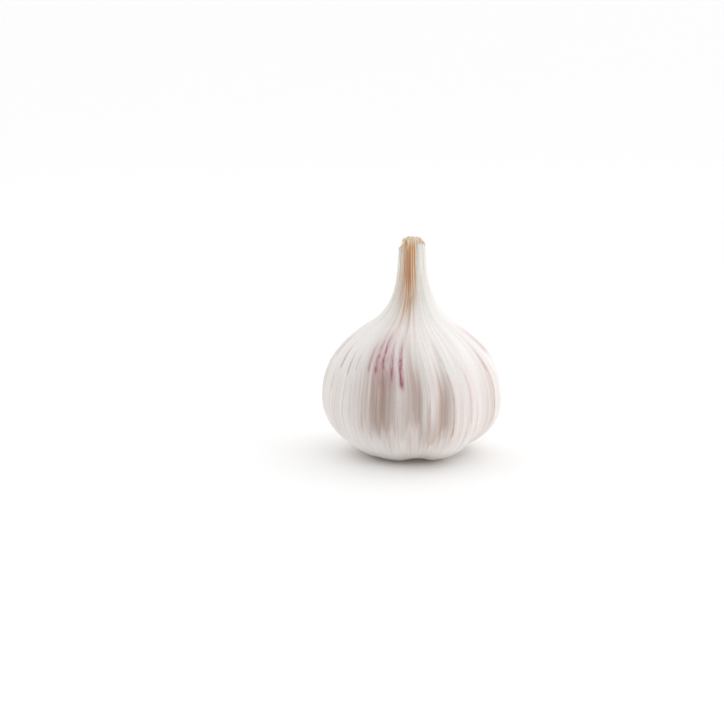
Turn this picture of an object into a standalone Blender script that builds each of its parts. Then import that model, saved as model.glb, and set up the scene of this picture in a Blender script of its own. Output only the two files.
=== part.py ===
"""A whole garlic bulb, standing upright on its root plate.

Metres, +Z up. The origin is the centre of the root plate's flat underside, on the surface the bulb rests on.
Three pieces: the bulb (cloves under one skin that runs up into the neck), the dry inner sheath that shows in
the neck's open front, and the corky root plate that it all stands on.
"""
import math

import bmesh
import bpy
from mathutils import Vector
from mathutils.geometry import interpolate_bezier

MM = 0.001

# ---- driving dimensions ------------------------------------------------------------
BELLY_RADIUS = 30.4 * MM  # over the backs of the cloves at the widest ring
BELLY_HEIGHT = 18.4 * MM
SHOULDER_RADIUS = 13.8 * MM  # where the round shoulder turns into the hollow flare of the neck
SHOULDER_HEIGHT = 43.4 * MM
NECK_RADIUS = 4.6 * MM  # the outer sheath where it was cut
NECK_LENGTH = 28.0 * MM  # from the shoulder to the cut
NECK_WALL = 1.4 * MM  # the outer sheath's thickness at the cut

PLATE_RADIUS = 11.8 * MM
PLATE_THICKNESS = 2.2 * MM
PLATE_CHAMFER = 0.6 * MM
HEEL_MARGIN = 4.7 * MM  # from the plate's edge out to the lowest ring of the lobes
HEEL_HEIGHT = 0.8 * MM  # the plate carries the bulb, so the lobes just miss the surface

SHEATH_LENGTH = 22.0 * MM
SHEATH_PROUD = 0.6 * MM  # the inner sheath stands this far out of the cut neck
SHEATH_TAPER = 0.5 * MM  # it is this much wider in radius at its foot
SLIT_LENGTH = 17.4 * MM  # the neck's open front, down from the cut
SLIT_WIDTH = 4.4 * MM
SLIT_FOOT_WIDTH = 2.0 * MM

CLEARANCE = 0.3 * MM  # between pieces that touch on the real bulb

# ---- sizes that follow from them ---------------------------------------------------
NECK_TOP = SHOULDER_HEIGHT + NECK_LENGTH
HEEL_RADIUS = PLATE_RADIUS + HEEL_MARGIN
SHEATH_TOP = NECK_TOP + SHEATH_PROUD
SHEATH_FOOT = SHEATH_TOP - SHEATH_LENGTH
SHEATH_TOP_RADIUS = NECK_RADIUS - NECK_WALL - CLEARANCE
SHEATH_FOOT_RADIUS = SHEATH_TOP_RADIUS + SHEATH_TAPER
SLIT_FOOT = NECK_TOP - SLIT_LENGTH

# ---- the outline, as three Bezier arcs ---------------------------------------------
SHOULDER_SLOPE = math.radians(58.5)  # from the vertical
HEEL_REACH = 0.6 * MM  # how far each handle reaches from its point
BELLY_REACH_DOWN = 12.0 * MM
BELLY_REACH_UP = 13.6 * MM
SHOULDER_REACH_DOWN = 9.7 * MM
SHOULDER_REACH_UP = 7.9 * MM
NECK_REACH = 14.5 * MM
HEEL_STEPS, SHOULDER_STEPS, FLARE_STEPS = 9, 9, 8

# ---- the lobes ---------------------------------------------------------------------
CLOVE_WIDTHS = (39, 31, 23, 29, 40, 40, 40, 40, 40, 38)  # degrees round the bulb, one for each clove
FIRST_VALLEY = -70  # degrees from the front (-Y) towards +X, where the first clove begins
PLUMP_WIDTH = 40  # degrees: a clove narrower than this bulges less
GROOVE_DEPTH = 0.075  # the deepest valley, as a share of the radius there
SLIM_DEPTH = 0.04  # how much lower the back of a very narrow clove would lie, as the same share
GROOVE_WIDTH = 8.0  # degrees
GROOVE_HEIGHT = 11.0 * MM  # where the valleys are deepest
GROOVE_REACH = 18.0 * MM  # and how far above that they have almost gone
VALLEY_LIFT = 1.4 * MM  # the skin between two lobes stays this much further off the surface
COLUMNS = 80

SHEATH_SIDES = 24
PLATE_SIDES = 48


def start_scene():
    """An empty scene, with one collection for the parts and one for the cutters."""
    for old in list(bpy.data.objects):
        bpy.data.objects.remove(old, do_unlink=True)
    parts = bpy.data.collections.new("garlic_bulb")
    cutters = bpy.data.collections.new("cutters")
    for collection in (parts, cutters):
        bpy.context.scene.collection.children.link(collection)
    return parts, cutters


def finish(name, rgb, roughness):
    """A plain Principled material."""
    material = bpy.data.materials.new(name)
    material.use_nodes = True
    shader = material.node_tree.nodes["Principled BSDF"]
    shader.inputs["Base Color"].default_value = (*rgb, 1.0)
    shader.inputs["Roughness"].default_value = roughness
    shader.inputs["Metallic"].default_value = 0.0
    return material


def add_piece(name, mesh, collection, material=None, sharp_degrees=40):
    """Names the mesh, gives it its material and smooth shading, and links it to its collection."""
    mesh.name = name
    if material:
        mesh.materials.append(material)
    mesh.shade_smooth()
    mesh.set_sharp_from_angle(angle=math.radians(sharp_degrees))
    piece = bpy.data.objects.new(name, mesh)
    collection.objects.link(piece)
    return piece


def arc(start, start_handle, end_handle, end, steps):
    """Points (radius, height) along one Bezier arc, without its first point."""
    knots = [Vector((radius, height, 0.0)) for radius, height in (start, start_handle, end_handle, end)]
    points = interpolate_bezier(*knots, steps + 1)
    return [(point.x, point.y) for point in points[1:]]


def outline():
    """The bulb's side, from its heel over the belly and the shoulder to the cut neck."""
    lean = (math.sin(SHOULDER_SLOPE), math.cos(SHOULDER_SLOPE))
    heel = (HEEL_RADIUS, HEEL_HEIGHT)
    belly = (BELLY_RADIUS, BELLY_HEIGHT)
    shoulder = (SHOULDER_RADIUS, SHOULDER_HEIGHT)
    neck = (NECK_RADIUS, NECK_TOP)

    heel_handle = (HEEL_RADIUS + HEEL_REACH, HEEL_HEIGHT)
    below_belly = (BELLY_RADIUS, BELLY_HEIGHT - BELLY_REACH_DOWN)
    above_belly = (BELLY_RADIUS, BELLY_HEIGHT + BELLY_REACH_UP)
    below_shoulder = (SHOULDER_RADIUS + SHOULDER_REACH_DOWN * lean[0],
                      SHOULDER_HEIGHT - SHOULDER_REACH_DOWN * lean[1])
    above_shoulder = (SHOULDER_RADIUS - SHOULDER_REACH_UP * lean[0],
                      SHOULDER_HEIGHT + SHOULDER_REACH_UP * lean[1])
    below_neck = (NECK_RADIUS, NECK_TOP - NECK_REACH)

    side = [heel]
    side += arc(heel, heel_handle, below_belly, belly, HEEL_STEPS)
    side += arc(belly, above_belly, below_shoulder, shoulder, SHOULDER_STEPS)
    side += arc(shoulder, above_shoulder, below_neck, neck, FLARE_STEPS)
    return side


def lobe(angle):
    """How deep in a valley this angle lies, and how slim the clove is there: two shares from 0 to 1."""
    along = (angle - FIRST_VALLEY) % 360
    start = 0
    for width in CLOVE_WIDTHS:
        if along < start + width:
            break
        start += width
    to_valley = min(along - start, start + width - along)
    valley = math.exp(-(to_valley / GROOVE_WIDTH) ** 2)
    slim = max(0.0, 1 - width / PLUMP_WIDTH) * math.sin(math.pi * (along - start) / width) ** 2
    return valley, slim


def round_ring(radius, height):
    """One round section, as points about the Z axis."""
    turns = [math.tau * column / COLUMNS for column in range(COLUMNS)]
    return [Vector((radius * math.sin(turn), -radius * math.cos(turn), height)) for turn in turns]


def lobed_ring(radius, height):
    """One section of the bulb's side. The lobes are strongest low down and fade out towards the neck."""
    strength = math.exp(-((height - GROOVE_HEIGHT) / GROOVE_REACH) ** 2)
    lift = VALLEY_LIFT * max(0.0, 1.0 - height / GROOVE_HEIGHT)
    points = []
    for column, point in enumerate(round_ring(radius, height)):
        valley, slim = lobe(360 * column / COLUMNS)
        wide = 1 - strength * (GROOVE_DEPTH * valley + SLIM_DEPTH * slim)
        points.append(Vector((point.x * wide, point.y * wide, height + lift * (valley + slim))))
    return points


def lofted_bulb():
    """The bulb's closed solid: a seat for the root plate, the lobed side, and the neck's flat cut."""
    seat_radius = PLATE_RADIUS + CLEARANCE
    ceiling = PLATE_THICKNESS + CLEARANCE
    rim = HEEL_HEIGHT + (ceiling - HEEL_HEIGHT) / 2
    sections = [round_ring(seat_radius, ceiling), round_ring(seat_radius, rim)]
    sections += [lobed_ring(radius, height) for radius, height in outline()]

    shape = bmesh.new()
    rings = [[shape.verts.new(point) for point in section] for section in sections]
    for lower, upper in zip(rings, rings[1:]):
        for here in range(COLUMNS):
            after = (here + 1) % COLUMNS
            shape.faces.new((lower[here], lower[after], upper[after], upper[here]))
    shape.faces.new(reversed(rings[0]))
    shape.faces.new(rings[-1])
    bmesh.ops.triangulate(shape, faces=[face for face in shape.faces if len(face.verts) > 4])
    mesh = bpy.data.meshes.new("bulb")
    shape.to_mesh(mesh)
    shape.free()
    return mesh


def cutter(name, mesh, collection):
    """A hidden wire-drawn object that only cuts."""
    tool = add_piece(name, mesh, collection)
    tool.display_type = "WIRE"
    tool.hide_render = True
    return tool


def pocket_cutter(collection):
    """The inner sheath's own tapered shape, grown by the clearance and carried past the neck's cut."""
    floor = SHEATH_FOOT - CLEARANCE
    top = SHEATH_TOP + CLEARANCE
    shape = bmesh.new()
    bmesh.ops.create_cone(shape, cap_ends=True, segments=SHEATH_SIDES, depth=top - floor,
                          radius1=SHEATH_FOOT_RADIUS + CLEARANCE, radius2=SHEATH_TOP_RADIUS + CLEARANCE)
    bmesh.ops.translate(shape, verts=shape.verts, vec=(0, 0, (top + floor) / 2))
    mesh = bpy.data.meshes.new("pocket_cutter")
    shape.to_mesh(mesh)
    shape.free()
    return cutter("pocket_cutter", mesh, collection)


def slit_cutter(collection):
    """A wedge through the front wall of the neck, narrower at its foot."""
    reach = SHOULDER_RADIUS
    top = SHEATH_TOP + CLEARANCE
    shape = bmesh.new()
    bmesh.ops.create_cube(shape, size=1.0)
    bmesh.ops.scale(shape, verts=shape.verts, vec=(SLIT_WIDTH, reach, top - SLIT_FOOT))
    foot = [corner for corner in shape.verts if corner.co.z < 0]
    bmesh.ops.scale(shape, verts=foot, vec=(SLIT_FOOT_WIDTH / SLIT_WIDTH, 1, 1))
    bmesh.ops.translate(shape, verts=shape.verts, vec=(0, -reach / 2, (top + SLIT_FOOT) / 2))
    mesh = bpy.data.meshes.new("slit_cutter")
    shape.to_mesh(mesh)
    shape.free()
    return cutter("slit_cutter", mesh, collection)


def build_bulb(parts, cutters):
    """The cloves under their skin, with the neck's outer sheath open at the front."""
    bulb = add_piece("bulb", lofted_bulb(), parts, finish("white_skin", (0.83, 0.76, 0.73), 0.45))
    for tool in (pocket_cutter(cutters), slit_cutter(cutters)):
        cut = bulb.modifiers.new(tool.name, "BOOLEAN")
        cut.operation = "DIFFERENCE"
        cut.solver = "EXACT"
        cut.object = tool
    return bulb


def turned(name, profile, sides, collection, material):
    """A solid turned about the Z axis from a profile that starts and ends on the axis, top first."""
    shape = bmesh.new()
    points = [shape.verts.new((radius, 0, height)) for radius, height in profile]
    for upper, lower in zip(points, points[1:]):
        shape.edges.new((upper, lower))
    mesh = bpy.data.meshes.new(name)
    shape.to_mesh(mesh)
    shape.free()
    piece = add_piece(name, mesh, collection, material)
    screw = piece.modifiers.new("turn", "SCREW")
    screw.steps = sides
    screw.render_steps = sides
    screw.use_merge_vertices = True
    screw.merge_threshold = 0.01 * MM
    screw.use_smooth_shade = True
    return piece


def build_inner_sheath(parts):
    """The dry rolled leaf in the neck, a slightly tapered roll with a rounded top edge."""
    rounding = SHEATH_TOP_RADIUS / 6
    profile = [
        (0, SHEATH_TOP),
        (SHEATH_TOP_RADIUS - rounding, SHEATH_TOP),
        (SHEATH_TOP_RADIUS, SHEATH_TOP - rounding),
        (SHEATH_FOOT_RADIUS, SHEATH_FOOT),
        (0, SHEATH_FOOT),
    ]
    brown = finish("brown_sheath", (0.56, 0.40, 0.26), 0.7)
    return turned("inner_sheath", profile, SHEATH_SIDES, parts, brown)


def build_root_plate(parts):
    """The corky disc that the roots grew from, flat underneath, where the bulb rests."""
    profile = [
        (0, PLATE_THICKNESS),
        (PLATE_RADIUS, PLATE_THICKNESS),
        (PLATE_RADIUS, PLATE_CHAMFER),
        (PLATE_RADIUS - PLATE_CHAMFER, 0),
        (0, 0),
    ]
    corky = finish("corky_root", (0.50, 0.33, 0.18), 0.85)
    return turned("root_plate", profile, PLATE_SIDES, parts, corky)


def main():
    parts, cutters = start_scene()
    build_bulb(parts, cutters)
    build_inner_sheath(parts)
    build_root_plate(parts)


main()
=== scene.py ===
# %% [markdown]
# A whole garlic bulb, standing on its root plate.
# A garlic bulb is a ring of cloves on a corky disc. Dry leaf sheaths wrap them all, and their stalks make
# the neck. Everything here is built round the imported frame, which holds the real sizes. So the frame is
# loaded first, and the main sizes are measured from it instead of being typed in again.

# %% The frame
import math

import bpy
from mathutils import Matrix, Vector


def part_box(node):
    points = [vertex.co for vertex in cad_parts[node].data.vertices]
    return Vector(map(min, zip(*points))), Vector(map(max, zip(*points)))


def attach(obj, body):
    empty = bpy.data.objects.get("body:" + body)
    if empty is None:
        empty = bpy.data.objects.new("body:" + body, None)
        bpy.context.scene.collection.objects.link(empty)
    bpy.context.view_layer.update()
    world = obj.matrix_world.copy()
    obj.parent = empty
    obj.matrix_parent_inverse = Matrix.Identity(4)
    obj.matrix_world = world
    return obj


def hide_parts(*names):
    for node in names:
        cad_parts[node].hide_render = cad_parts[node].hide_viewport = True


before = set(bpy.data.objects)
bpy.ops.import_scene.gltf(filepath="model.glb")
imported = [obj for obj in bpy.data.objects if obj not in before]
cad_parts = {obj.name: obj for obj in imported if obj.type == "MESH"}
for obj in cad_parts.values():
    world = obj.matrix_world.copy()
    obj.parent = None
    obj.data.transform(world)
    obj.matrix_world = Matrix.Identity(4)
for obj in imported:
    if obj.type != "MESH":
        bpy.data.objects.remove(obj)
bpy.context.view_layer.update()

MM = 0.001
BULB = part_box("bulb")
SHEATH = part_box("inner_sheath")
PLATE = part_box("root_plate")

BELLY_RADIUS = (BULB[1].x - BULB[0].x + BULB[1].y - BULB[0].y) / 4
SHEATH_TOP = SHEATH[1].z
PLATE_RADIUS = PLATE[1].x
PLATE_TOP = PLATE[1].z
print(f"belly radius {BELLY_RADIUS / MM:.1f} mm, plate radius {PLATE_RADIUS / MM:.1f} mm")
print(f"the neck is cut at {SHEATH_TOP / MM:.1f} mm")

# %% [markdown]
# Node trees get long and hard to read as links between boxes. A small class that wraps a socket lets a rule
# be written as a line of arithmetic, and each operator adds the Math node that it stands for. The same
# class serves geometry and materials, because both kinds of tree have Math nodes.

# %% A socket that does arithmetic
class Value:
    """An output socket. Arithmetic on it adds Math nodes to the tree it belongs to."""

    def __init__(self, tree, socket):
        self.tree = tree
        self.socket = socket

    def math(self, operation, *others):
        inputs = dict(enumerate((self, *others)))
        return self.tree.add("ShaderNodeMath", {"operation": operation}, inputs)

    def flipped(self, operation, first):
        return self.tree.add("ShaderNodeMath", {"operation": operation}, {0: first, 1: self})

    def __add__(self, other):
        return self.math("ADD", other)

    def __sub__(self, other):
        return self.math("SUBTRACT", other)

    def __mul__(self, other):
        return self.math("MULTIPLY", other)

    def __truediv__(self, other):
        return self.math("DIVIDE", other)

    def __pow__(self, other):
        return self.math("POWER", other)

    def __lt__(self, other):
        return self.math("LESS_THAN", other)

    def __gt__(self, other):
        return self.math("GREATER_THAN", other)

    def __radd__(self, other):
        return self.flipped("ADD", other)

    def __rsub__(self, other):
        return self.flipped("SUBTRACT", other)

    def __rmul__(self, other):
        return self.flipped("MULTIPLY", other)

    def __rtruediv__(self, other):
        return self.flipped("DIVIDE", other)

    def __abs__(self):
        return self.math("ABSOLUTE")

    def ramp(self, low, high, to_low=0.0, to_high=1.0):
        """An eased step: to_low at low and below, to_high at high and above."""
        inputs = {"Value": self, "From Min": low, "From Max": high, "To Min": to_low, "To Max": to_high}
        return self.tree.add("ShaderNodeMapRange", {"interpolation_type": "SMOOTHSTEP"}, inputs)

    def bell(self, width):
        """1 where the value is 0, falling to 0 on both sides like a bell of this width."""
        share = self / width
        return (share * share * -1.0).math("EXPONENT")


# %% [markdown]
# Any other node comes from one method. It is given the node's type, then its settings, which have to be set
# first because they can change which sockets there are, and then a value or a link for each socket.

# %% A tree that adds nodes
class Tree:
    """A node tree, with one method that adds any node."""

    def __init__(self, tree):
        self.tree = tree

    def add(self, kind, settings=None, inputs=None, output=0):
        node = self.tree.nodes.new(kind)
        for name, value in (settings or {}).items():
            if name == "points":
                set_curve(node, value)
            else:
                setattr(node, name, value)
        for key, value in (inputs or {}).items():
            if isinstance(value, Value):
                self.tree.links.new(value.socket, node.inputs[key])
            else:
                node.inputs[key].default_value = value
        return Value(self, node.outputs[output])

    def end(self, kind, name, value):
        """The tree's last node, which has no output."""
        node = self.tree.nodes.new(kind)
        self.tree.links.new(value.socket, node.inputs[name])

    def xyz(self, x=0.0, y=0.0, z=0.0):
        return self.add("ShaderNodeCombineXYZ", None, {0: x, 1: y, 2: z})

    def parts(self, vector):
        split = self.add("ShaderNodeSeparateXYZ", None, {0: vector})
        return [Value(self, output) for output in split.socket.node.outputs]

    def noise(self, vector, detail=2.0, roughness=0.5):
        inputs = {"Vector": vector, "Scale": 1.0, "Detail": detail, "Roughness": roughness}
        return self.add("ShaderNodeTexNoise", {"noise_dimensions": "3D"}, inputs)

    def mix(self, share, first, second):
        """A colour between two colours."""
        settings = {"data_type": "RGBA", "clamp_factor": True}
        return self.add("ShaderNodeMix", settings, {0: share, 6: first, 7: second}, output=2)


def set_curve(node, points):
    """A smooth line through the points of a Float Curve node, level at each crest and valley."""
    curve = node.mapping.curves[0]
    while len(curve.points) < len(points):
        curve.points.new(0.5, 0.5)
    for point, place in zip(curve.points, points):
        point.location = place
        point.handle_type = "AUTO_CLAMPED"
    node.mapping.update()


# %% A colour as it looks on a screen
def rgb(red, green, blue):
    """A colour given as it looks on a screen, 0 to 255, as the linear colour that shaders use."""
    linear = [((c / 255 + 0.055) / 1.055) ** 2.4 if c > 10 else c / 255 / 12.92 for c in (red, green, blue)]
    return (*linear, 1.0)


# %% [markdown]
# The camera looks slightly down on the bulb through a long lens, as one would photograph food. The bulb
# stands to the right of the middle of the picture.

# %% Camera
CAMERA_DISTANCE = 0.563  # metres
CAMERA_ELEVATION = math.radians(13)
CAMERA_TARGET = Vector((-0.01665, 0, 0.02995))
LENS = 85.0  # mm
SENSOR = 36.0  # mm
NEAREST, FARTHEST = 0.01, 50.0


def aimed(thing, place, target):
    """Puts a camera or lamp at a place, turned to look at a target."""
    thing.location = place
    thing.rotation_euler = (Vector(target) - Vector(place)).to_track_quat("-Z", "Y").to_euler()
    bpy.context.scene.collection.objects.link(thing)


def add_camera():
    camera = bpy.data.objects.new("camera", bpy.data.cameras.new("camera"))
    camera.data.lens = LENS
    camera.data.sensor_width = SENSOR
    camera.data.clip_start = NEAREST
    camera.data.clip_end = FARTHEST
    away = Vector((0, -math.cos(CAMERA_ELEVATION), math.sin(CAMERA_ELEVATION)))
    aimed(camera, CAMERA_TARGET + away * CAMERA_DISTANCE, CAMERA_TARGET)
    bpy.context.scene.camera = camera


add_camera()
print("camera", CAMERA_DISTANCE, "m away, looking down", round(math.degrees(CAMERA_ELEVATION)), "degrees")

# %% [markdown]
# Dry garlic skin shows its folds only in soft light from the side, so one small lamp won't do. Most of the
# light is a sky without edges: brightest overhead and at the right, and dark where the camera stands, which
# models the lobes at the front. Two large soft lamps add to it from the left and the right. A wide pale
# floor runs back to the backdrop. The camera sees the backdrop as plain white, and the floor glows a very
# little, so that the two meet almost without a line.

# %% Light and floor
BULB_MIDDLE = (0, 0, 0.03)
SKY = 0.83
SKY_RIGHT = 0.36
SKY_OVERHEAD = 0.42
SKY_SHADE = 0.95  # the share of the light that is missing where the camera stands
FLOOR_RADIUS = 12.0
FLOOR_WHITE = 0.96
FLOOR_ROUGHNESS = 0.9
FLOOR_GLOW = 0.05


def add_lamp(name, place, size, watts):
    lamp = bpy.data.lights.new(name, "AREA")
    lamp.shape = "DISK"
    lamp.size = size
    lamp.energy = watts
    aimed(bpy.data.objects.new(name, lamp), place, BULB_MIDDLE)


def add_world():
    """Soft white light: brightest overhead and at the right, dark where the camera stands."""
    world = bpy.data.worlds.new("studio")
    bpy.context.scene.world = world
    world.use_nodes = True
    world.node_tree.nodes.clear()
    tree = Tree(world.node_tree)
    east, north, up = tree.parts(tree.add("ShaderNodeTexCoord", output="Generated"))
    shade = (north * -1.0).ramp(-0.1, 0.6) * up.ramp(0.5, 0.92, 1.0, 0.0)
    right = east.ramp(0.1, 0.9)
    overhead = up.ramp(0.2, 0.9)
    strength = (SKY + right * SKY_RIGHT + overhead * SKY_OVERHEAD) * (1.0 - shade * SKY_SHADE)
    seen = tree.add("ShaderNodeLightPath", output="Is Camera Ray")
    strength = strength.math("MAXIMUM", seen)
    shine = tree.add("ShaderNodeBackground", None, {"Color": (1, 1, 1, 1), "Strength": strength})
    tree.end("ShaderNodeOutputWorld", "Surface", shine)


def add_floor():
    bpy.ops.mesh.primitive_circle_add(vertices=128, radius=FLOOR_RADIUS, fill_type="NGON")
    floor = bpy.context.object
    floor.name = "floor"
    paint = bpy.data.materials.new("pale_floor")
    paint.use_nodes = True
    shader = paint.node_tree.nodes["Principled BSDF"]
    shader.inputs["Base Color"].default_value = (FLOOR_WHITE, FLOOR_WHITE, FLOOR_WHITE, 1)
    shader.inputs["Roughness"].default_value = FLOOR_ROUGHNESS
    shader.inputs["Emission Color"].default_value = (1, 1, 1, 1)
    shader.inputs["Emission Strength"].default_value = FLOOR_GLOW
    floor.data.materials.append(paint)


add_world()
add_floor()
add_lamp("key_right", place=(0.52, -0.4, 0.22), size=0.45, watts=0.85)
add_lamp("fill_left", place=(-0.6, -0.1, 0.3), size=0.5, watts=0.25)
bpy.context.scene.view_settings.view_transform = "Standard"
print(len(bpy.data.lights), "lamps and a sky")

# %% [markdown]
# The skin is one closed sheet: it starts under the bulb, runs out over the heel of the cloves, up the belly
# and the shoulder, narrows into the neck, turns over at the ragged cut and runs a little way down inside.
# It could be sculpted. But its side view is a curve with few points, which a rule can spin round the axis,
# so the faces come out evenly fine and each size stays a named number. First the curve is drawn, with a
# knot at the heel, where the bulb is widest, on the shoulder, and at each end.

# %% The outline
HEEL_RADIUS = PLATE_RADIUS + 4.7 * MM
HEEL_HEIGHT = BULB[0].z
BELLY_HEIGHT = 18.4 * MM
SHOULDER_RADIUS = 13.8 * MM
SHOULDER_HEIGHT = 43.4 * MM
SHOULDER_SLOPE = math.radians(58.5)
NECK_RADIUS = 4.35 * MM
SEAT_HEIGHT = PLATE_TOP + 0.2 * MM


def add_outline():
    """The bulb's side as a Bezier curve. Each knot has its place, the handle before it and the one after."""
    down = Vector((math.sin(SHOULDER_SLOPE), 0, -math.cos(SHOULDER_SLOPE)))
    seat = Vector((PLATE_RADIUS - 1.0 * MM, 0, SEAT_HEIGHT))
    heel = Vector((HEEL_RADIUS, 0, HEEL_HEIGHT))
    belly = Vector((BELLY_RADIUS, 0, BELLY_HEIGHT))
    shoulder = Vector((SHOULDER_RADIUS, 0, SHOULDER_HEIGHT))
    neck = Vector((NECK_RADIUS, 0, SHEATH_TOP))
    x = Vector((MM, 0, 0))
    z = Vector((0, 0, MM))
    knots = [
        (seat, seat - x, seat + x * 1.4),
        (heel, heel - x * 2.6, heel + x * 1.4),
        (belly, belly - z * 12.0, belly + z * 13.6),
        (shoulder, shoulder + down * 9.7 * MM, shoulder - down * 8.8 * MM),
        (neck, neck - z * 16.5, neck + z),
    ]
    curve = bpy.data.curves.new("outline", "CURVE")
    curve.dimensions = "3D"
    curve.resolution_u = 40
    spline = curve.splines.new("BEZIER")
    spline.bezier_points.add(len(knots) - 1)
    for point, (place, before, after) in zip(spline.bezier_points, knots):
        point.handle_left_type = point.handle_right_type = "FREE"
        point.co = place
        point.handle_left = before
        point.handle_right = after
    outline = bpy.data.objects.new("outline", curve)
    bpy.context.scene.collection.objects.link(outline)
    return outline


outline = add_outline()
OUTLINE_LENGTH = outline.data.splines[0].calc_length()
print(f"outline {OUTLINE_LENGTH / MM:.1f} mm long")

# %% [markdown]
# Seen from above, the bulb is a ring of cloves of uneven widths, and the skin sinks between them. Each
# valley could be carved by hand. A list of angles and depths is easier to read and to change, and one
# smooth line through it tells every point of the ring how deep it lies. The heels of the cloves are set out
# differently from their backs, so the foot has a list of its own.

# %% The ring of cloves
# each pair: degrees from the front towards the right, and how deep the skin sinks there in mm
BACK = (
    (92, 1.7), (112, 0.0), (132, 1.8), (152, 0.2), (172, 1.5), (192, 0.0), (212, 1.8), (232, 0.1),
    (251, 1.5), (270, 0.0),
)
LOBES = (
    (-90, 0.0), (-70, 0.5), (-50, 0.0), (-34, 1.0), (-27, 0.6), (-20, 1.4), (-8, 0.1), (1.5, 1.5), (9, 0.1),
    (17.5, 1.4), (29, 0.0), (53, 2.0), (72, 0.2), *BACK,
)
FEET = (
    (-90, 0.0), (-68, 0.5), (-48, 0.1), (-38, 0.2), (-27, 0.0), (4, 0.75), (33, 0.0), (54, 1.9), (72, 1.3),
    *BACK,
)
FIRST_CREST = LOBES[0][0]
DEEPEST = 2.2 * MM


def ring_points(ring):
    """Points of a curve: share of a full turn, and the root of the depth's share of the deepest valley.

    The rule squares the curve's value, which rounds the crests and sharpens the valleys.
    """
    return [((angle - FIRST_CREST) / 360, (depth * MM / DEEPEST) ** 0.5) for angle, depth in ring]


print(sum(after[1] > before[1] for before, after in zip(LOBES, LOBES[1:])), "valleys round the ring")

# %% [markdown]
# Nothing that grew is quite straight. The fibres turn to the left over the shoulder, and the neck leans to
# the left. Both are small rules of the height, so that shape and colour can follow the same ones.

# %% Twist and lean
TWIST = 5.0  # degrees
TWIST_START, TWIST_END = 24 * MM, 44 * MM
NECK_LEAN = 0.35 * MM
LEAN_START, LEAN_END = 48 * MM, 64 * MM


def twist(height):
    """Degrees that the fibres have turned to the left by this height, on their way over the shoulder."""
    return height.ramp(TWIST_START, TWIST_END, 0.0, TWIST)


def lean(height):
    """How far the neck stands to the left of the axis at this height."""
    return height.ramp(LEAN_START, LEAN_END, 0.0, NECK_LEAN)


print(f"the neck leans {NECK_LEAN / MM} mm to the left")

# %% [markdown]
# One rule makes every dry sheath: the skin, and the older leaf inside its neck. A flat grid is bent. Across
# the grid runs the turn round the axis, and along it the way up the outside, over the rim and down inside.
# What differs between the sheaths is an input with a name, in metres, degrees or shares.

# %% Inputs of the sheath rule
FLOAT, INT = "NodeSocketFloat", "NodeSocketInt"
OBJECT, MATERIAL = "NodeSocketObject", "NodeSocketMaterial"
SHEATH_INPUTS = {
    "Outline": (OBJECT, None),
    "Material": (MATERIAL, None),
    "Columns": (INT, 620),
    "Rows": (INT, 155),
    "Start": (FLOAT, 0.0),
    "Inset": (FLOAT, 0.0),
    "Wall": (FLOAT, 0.4 * MM),
    "Floor Height": (FLOAT, 50 * MM),
    "Rim Height": (FLOAT, 70.8 * MM),
    "Left Drop": (FLOAT, 2.8 * MM),
    "Right Drop": (FLOAT, 1.0 * MM),
    "Rim Raggedness": (FLOAT, 0.8 * MM),
    "Gap Depth": (FLOAT, 0.7 * MM),
    "Gap Left": (FLOAT, -34.0),
    "Gap Right": (FLOAT, 22.0),
    "Lobe Share": (FLOAT, 1.0),
    "Valley Lift": (FLOAT, 2.2 * MM),
    "Top Taper": (FLOAT, 0.55 * MM),
    "Foot Inset": (FLOAT, 0.0),
    "Pleat Depth": (FLOAT, 0.35 * MM),
    "Rib Depth": (FLOAT, 0.16 * MM),
    "Lumpiness": (FLOAT, 0.6 * MM),
    "Seed": (FLOAT, 0.0),
}
OUTER_SHARE = 0.9  # of the rows, on the outside; the rest run down inside the cut neck
MERGE = 0.001 * MM
print("the sheath rule has", len(SHEATH_INPUTS), "inputs")

# %% [markdown]
# Every rule starts with its named inputs. Every rule ends by turning instances into real faces, because an
# export drops instances, and by shading them smooth and giving them their material.

# %% How a rule starts and ends
def geometry_tree(name, inputs):
    """A Geometry Nodes tree with these inputs, and two dictionaries: their values and their identifiers."""
    group = bpy.data.node_groups.new(name, "GeometryNodeTree")
    group.interface.new_socket("Geometry", in_out="OUTPUT", socket_type="NodeSocketGeometry")
    identifiers = {}
    for label, (kind, default) in inputs.items():
        socket = group.interface.new_socket(label, in_out="INPUT", socket_type=kind)
        if default is not None:
            socket.default_value = default
        identifiers[label] = socket.identifier
    tree = Tree(group)
    start = group.nodes.new("NodeGroupInput")
    values = {label: Value(tree, start.outputs[label]) for label in inputs}
    return tree, values, identifiers


def flat_grid(tree, get):
    """A flat grid, and where each of its points lies across and along it, from -0.5 to 0.5."""
    sizes = {"Size X": 1.0, "Size Y": 1.0, "Vertices X": get["Columns"], "Vertices Y": get["Rows"]}
    grid = tree.add("GeometryNodeMeshGrid", None, sizes)
    across, along, _ = tree.parts(tree.add("GeometryNodeInputPosition"))
    return grid, across, along


def finish_tree(tree, geometry, material):
    """The end of each tree: real geometry, smooth, with its material."""
    geometry = tree.add("GeometryNodeRealizeInstances", None, {"Geometry": geometry})
    geometry = tree.add("GeometryNodeSetShadeSmooth", None, {"Geometry": geometry})
    geometry = tree.add("GeometryNodeSetMaterial", None, {"Geometry": geometry, "Material": material})
    tree.end("NodeGroupOutput", "Geometry", geometry)


def bend(tree, grid, place, material):
    """Moves each point of a grid to its place, joins the edges that meet, and ends the tree."""
    sheet = tree.add("GeometryNodeSetPosition", None, {"Geometry": grid, "Position": place})
    sheet = tree.add("GeometryNodeMergeByDistance", None, {"Geometry": sheet, "Distance": MERGE})
    finish_tree(tree, sheet, material)


print("points nearer than", MERGE / MM, "mm become one")

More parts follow.
